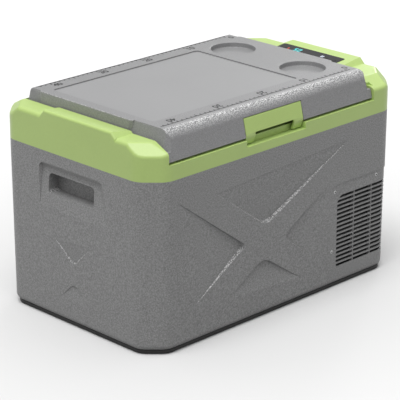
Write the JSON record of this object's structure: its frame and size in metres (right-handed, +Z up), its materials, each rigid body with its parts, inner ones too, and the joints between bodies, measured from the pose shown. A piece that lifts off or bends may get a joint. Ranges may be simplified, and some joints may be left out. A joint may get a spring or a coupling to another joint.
{
  "type": "compressor cooler fridge",
  "caption": "Chest-type compressor cooler with a hinged, latched lid, cup wells, hand recesses, side louvres and a sloping control panel.",
  "frame": {"origin": "on the floor under the middle of the body", "axes": "+X along the body to the machine end, -Y the front with the latch, +Z up"},
  "size_m": [0.58, 0.3654, 0.363],
  "materials": {
    "grey_shell": "moulded grey plastic with a fine even grain",
    "grey_lid": "moulded grey plastic with a fine sparkling grain",
    "green_bezel": "moulded yellow-green plastic, satin",
    "black_plastic": "moulded black plastic, fine grain",
    "black_rubber": "moulded rubber",
    "foam": "foamed-in-place insulation",
    "white_liner": "smooth white food-safe plastic",
    "lamp_lens": "milky lens",
    "aluminium": "mill-finish sheet",
    "copper_tube": "drawn copper tube",
    "zinc_steel": "zinc-plated steel",
    "black_enamel": "black enamel on pressed steel",
    "brass_pin": "turned brass",
    "board": "green solder mask",
    "panel_gloss": "black gloss face"
  },
  "bodies": {
    "cabinet": {"outer_shell": "grey_shell", "machine_cover": "grey_shell", "grip_cup_left": "grey_shell", "grip_cup_right": "grey_shell", "bezel_frame": "green_bezel", "base_plinth": "black_plastic", "rubber_feet": "black_rubber", "insulation_foam": "foam", "inner_liner": "white_liner", "divider_panel": "white_liner", "interior_lamp": "lamp_lens", "temperature_sensor": "white_liner", "evaporator_plate": "aluminium", "condenser_fins": "black_enamel", "condenser_coil": "black_enamel", "discharge_pipe": "black_enamel", "suction_pipe": "copper_tube", "condenser_stand": "black_enamel", "compressor_plate": "zinc_steel", "compressor_bolts": "zinc_steel", "compressor": "black_enamel", "compressor_grommets": "black_rubber", "cover_screws": "zinc_steel", "hinge_pins": "zinc_steel", "power_inlet": "black_plastic", "inlet_pins": "brass_pin", "fan_frame": "black_plastic", "power_board": "board", "control_board": "board", "control_panel": "panel_gloss", "hinge_brackets": "black_plastic"},
    "lid": {"lid_cover": "grey_lid", "lid_liner": "white_liner", "lid_foam": "foam", "lid_gasket": "black_rubber", "hinge_leaves": "black_plastic", "latch_pin": "zinc_steel"},
    "latch": {"latch_plate": "green_bezel"},
    "fan": {"fan_rotor": "black_plastic"},
    "power_key": {"key_power": "panel_gloss"},
    "set_key": {"key_set": "panel_gloss"},
    "down_key": {"key_down": "panel_gloss"},
    "up_key": {"key_up": "panel_gloss"}
  },
  "joints": [
    {"name": "lid_hinge", "type": "hinge", "parent": "cabinet", "child": "lid", "pos_m": [-0.0165, 0.163, 0.338], "axis": [-1, 0, 0], "range_deg": [0, 95]},
    {"name": "latch_pivot", "type": "hinge", "parent": "lid", "child": "latch", "pos_m": [-0.0166, -0.16947, 0.342], "axis": [-1, 0, 0], "range_deg": [0, 55]},
    {"name": "fan_spin", "type": "hinge", "parent": "cabinet", "child": "fan", "pos_m": [0.2, -0.12, 0.088], "axis": [0, 1, 0], "continuous": true},
    {"name": "power_key_press", "type": "slide", "parent": "cabinet", "child": "power_key", "axis": [0.0844, 0, -0.9964], "range_m": [0, 0.0008], "stiffness_N_per_m": 600},
    {"name": "set_key_press", "type": "slide", "parent": "cabinet", "child": "set_key", "axis": [0.0844, 0, -0.9964], "range_m": [0, 0.0008], "stiffness_N_per_m": 600},
    {"name": "down_key_press", "type": "slide", "parent": "cabinet", "child": "down_key", "axis": [0.0844, 0, -0.9964], "range_m": [0, 0.0008], "stiffness_N_per_m": 600},
    {"name": "up_key_press", "type": "slide", "parent": "cabinet", "child": "up_key", "axis": [0.0844, 0, -0.9964], "range_m": [0, 0.0008], "stiffness_N_per_m": 600}
  ]
}
